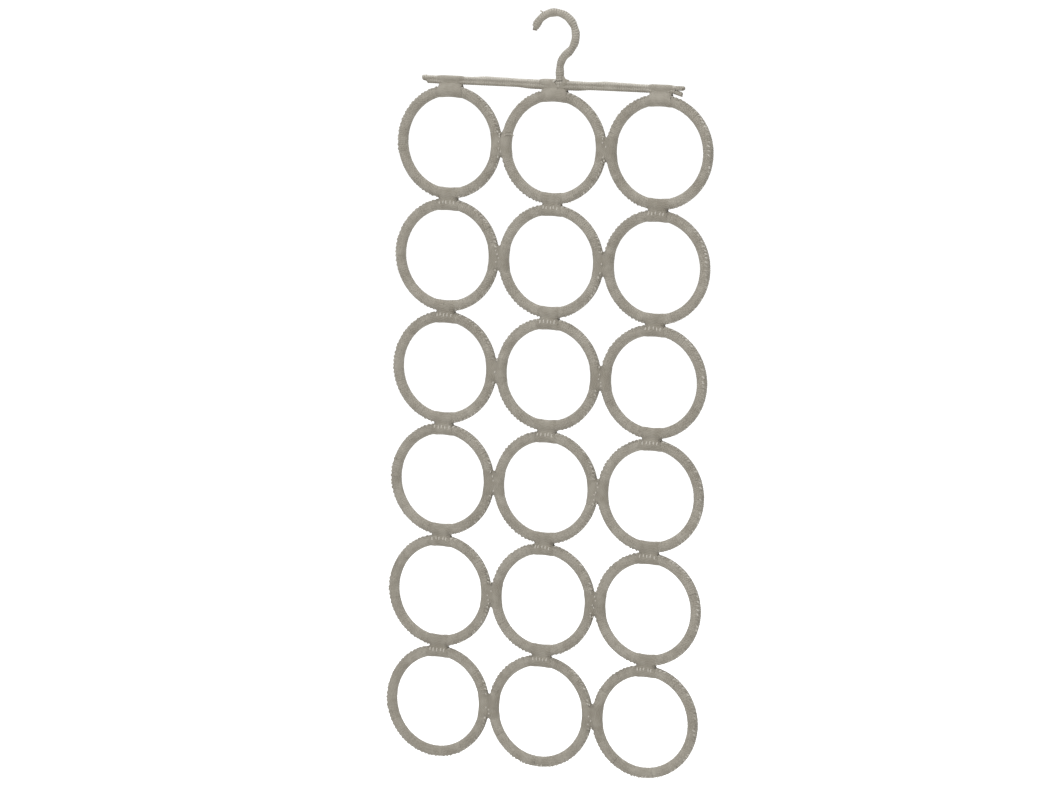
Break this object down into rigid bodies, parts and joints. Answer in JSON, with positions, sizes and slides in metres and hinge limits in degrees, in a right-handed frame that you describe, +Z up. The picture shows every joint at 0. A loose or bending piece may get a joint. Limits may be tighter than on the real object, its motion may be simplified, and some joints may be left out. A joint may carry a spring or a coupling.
{
  "type": "scarf hanger",
  "caption": "Hanging organiser for scarves: a panel of yarn-covered rings, tied together and to a wire bar with a closet-rod hook.",
  "frame": {"origin": "centre of the hook's bowl, where the closet rod's axis lies", "axes": "+X along the bar to the right, +Y from front to back along the rod, +Z up"},
  "size_m": [0.2888, 0.0128, 0.6464],
  "materials": {
    "yarn": "matte wound cotton yarn, warm grey",
    "hoop": "plain moulded plastic, hidden inside the yarn",
    "hook_wire": "satin painted steel wire",
    "bar_wire": "satin painted steel wire"
  },
  "bodies": {
    "bar": {"hook_wire": "hook_wire", "hook_cover": "yarn", "bar_upper_wire": "bar_wire", "bar_lower_wire": "bar_wire", "bar_cover": "yarn", "bar_binding": "yarn", "bar_lashings": "yarn"},
    "row_1": {"row_1_left_hoop": "hoop", "row_1_left_cover": "yarn", "row_1_middle_hoop": "hoop", "row_1_middle_cover": "yarn", "row_1_right_hoop": "hoop", "row_1_right_cover": "yarn", "row_1_side_lashings": "yarn", "row_1_hang_lashings": "yarn"},
    "row_2": {"row_2_left_hoop": "hoop", "row_2_left_cover": "yarn", "row_2_middle_hoop": "hoop", "row_2_middle_cover": "yarn", "row_2_right_hoop": "hoop", "row_2_right_cover": "yarn", "row_2_side_lashings": "yarn", "row_2_hang_lashings": "yarn"},
    "row_3": {"row_3_left_hoop": "hoop", "row_3_left_cover": "yarn", "row_3_middle_hoop": "hoop", "row_3_middle_cover": "yarn", "row_3_right_hoop": "hoop", "row_3_right_cover": "yarn", "row_3_side_lashings": "yarn", "row_3_hang_lashings": "yarn"},
    "row_4": {"row_4_left_hoop": "hoop", "row_4_left_cover": "yarn", "row_4_middle_hoop": "hoop", "row_4_middle_cover": "yarn", "row_4_right_hoop": "hoop", "row_4_right_cover": "yarn", "row_4_side_lashings": "yarn", "row_4_hang_lashings": "yarn"},
    "row_5": {"row_5_left_hoop": "hoop", "row_5_left_cover": "yarn", "row_5_middle_hoop": "hoop", "row_5_middle_cover": "yarn", "row_5_right_hoop": "hoop", "row_5_right_cover": "yarn", "row_5_side_lashings": "yarn", "row_5_hang_lashings": "yarn"},
    "row_6": {"row_6_left_hoop": "hoop", "row_6_left_cover": "yarn", "row_6_middle_hoop": "hoop", "row_6_middle_cover": "yarn", "row_6_right_hoop": "hoop", "row_6_right_cover": "yarn", "row_6_side_lashings": "yarn"}
  },
  "joints": [
    {"name": "row_1_swing", "type": "hinge", "parent": "bar", "child": "row_1", "pos_m": [0.00107, 0, -0.0511], "axis": [1, 0, 0], "range_deg": [-100, 100]},
    {"name": "row_2_swing", "type": "hinge", "parent": "row_1", "child": "row_2", "pos_m": [0.00107, 0, -0.1475], "axis": [-1, 0, 0], "range_deg": [-150, 150]},
    {"name": "row_3_swing", "type": "hinge", "parent": "row_2", "child": "row_3", "pos_m": [0.00107, 0, -0.24391], "axis": [1, 0, 0], "range_deg": [-150, 150]},
    {"name": "row_4_swing", "type": "hinge", "parent": "row_3", "child": "row_4", "pos_m": [0.00107, 0, -0.34031], "axis": [-1, 0, 0], "range_deg": [-150, 150]},
    {"name": "row_5_swing", "type": "hinge", "parent": "row_4", "child": "row_5", "pos_m": [0.00107, 0, -0.43671], "axis": [1, 0, 0], "range_deg": [-150, 150]},
    {"name": "row_6_swing", "type": "hinge", "parent": "row_5", "child": "row_6", "pos_m": [0.00107, 0, -0.53311], "axis": [-1, 0, 0], "range_deg": [-150, 150]}
  ]
}
